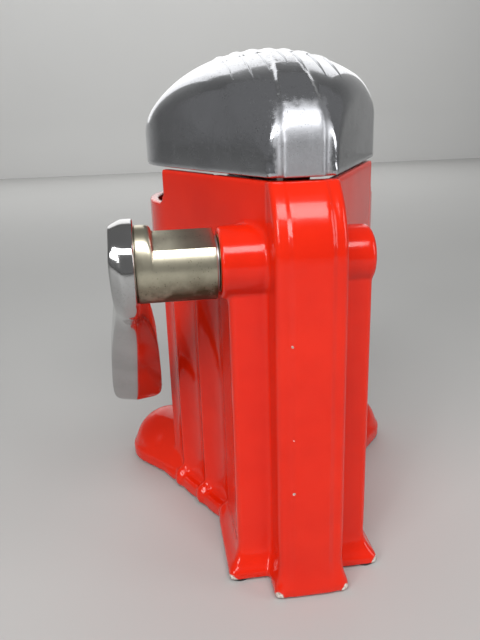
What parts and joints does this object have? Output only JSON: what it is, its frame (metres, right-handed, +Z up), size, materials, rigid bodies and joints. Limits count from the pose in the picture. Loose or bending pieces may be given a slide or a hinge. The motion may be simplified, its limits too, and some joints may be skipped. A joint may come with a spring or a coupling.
{
  "type": "hand lever citrus juicer",
  "caption": "Hand lever citrus press: red cast stand with a glass bay, juice bowl and straining cone, and a chrome dome with a press cup that a side lever lifts by a toothed arm.",
  "frame": {"origin": "on the table, on the stand's middle plane, near the middle of the stand from front to back", "axes": "+Z up, -Y towards the open glass bay at the front, +Y towards the ribbed back, +X towards the lever"},
  "size_m": [0.1521, 0.161, 0.2136],
  "materials": {
    "red_enamel": "glossy red enamel over die casting, chipped at the foot edges",
    "dome_chrome": "polished chrome plate, worn and finely pitted",
    "lever_chrome": "polished chrome plate, lightly scuffed",
    "hub_nickel": "worn nickel plate, dull and yellowish",
    "shaft_steel": "turned steel",
    "gear_steel": "cut steel, lightly greased",
    "pin_steel": "plain steel",
    "screw_steel": "plated steel",
    "washer_steel": "plain steel",
    "bush_bronze": "plain bearing bronze",
    "guide_brass": "plain brass",
    "bowl_aluminium": "spun aluminium, satin",
    "strainer_aluminium": "pressed aluminium, satin",
    "cup_aluminium": "cast aluminium, satin",
    "foot_rubber": "black rubber"
  },
  "bodies": {
    "stand": {"stand_casting": "red_enamel", "lever_side_bush": "bush_bronze", "plain_side_bush": "bush_bronze", "rack_guide": "guide_brass", "rack_guide_screws": "screw_steel", "juice_bowl": "bowl_aluminium", "strainer": "strainer_aluminium", "rubber_feet": "foot_rubber"},
    "lever": {"lever_arm": "lever_chrome", "lever_hub": "hub_nickel", "lever_screw": "screw_steel", "hub_pin": "pin_steel", "drive_shaft": "shaft_steel", "drive_pinion": "gear_steel", "pinion_pin": "pin_steel", "thrust_washer": "washer_steel", "retaining_ring": "washer_steel"},
    "head": {"dome_cover": "dome_chrome", "press_cup": "cup_aluminium", "press_cup_screw": "screw_steel", "rack_arm": "gear_steel", "rack_arm_screws": "screw_steel"}
  },
  "joints": [
    {"name": "lever_turn", "type": "hinge", "parent": "stand", "child": "lever", "pos_m": [0, 0.05, 0.135], "axis": [-1, 0, 0], "range_deg": [0, 150]},
    {"name": "head_tilt", "type": "hinge", "parent": "stand", "child": "head", "pos_m": [0, 0.088, 0.135], "axis": [-1, 0, 0], "range_deg": [0, 36]}
  ],
  "couplings": [
    {"joint": "head_tilt", "follows": "lever_turn", "ratio": 0.24}
  ]
}
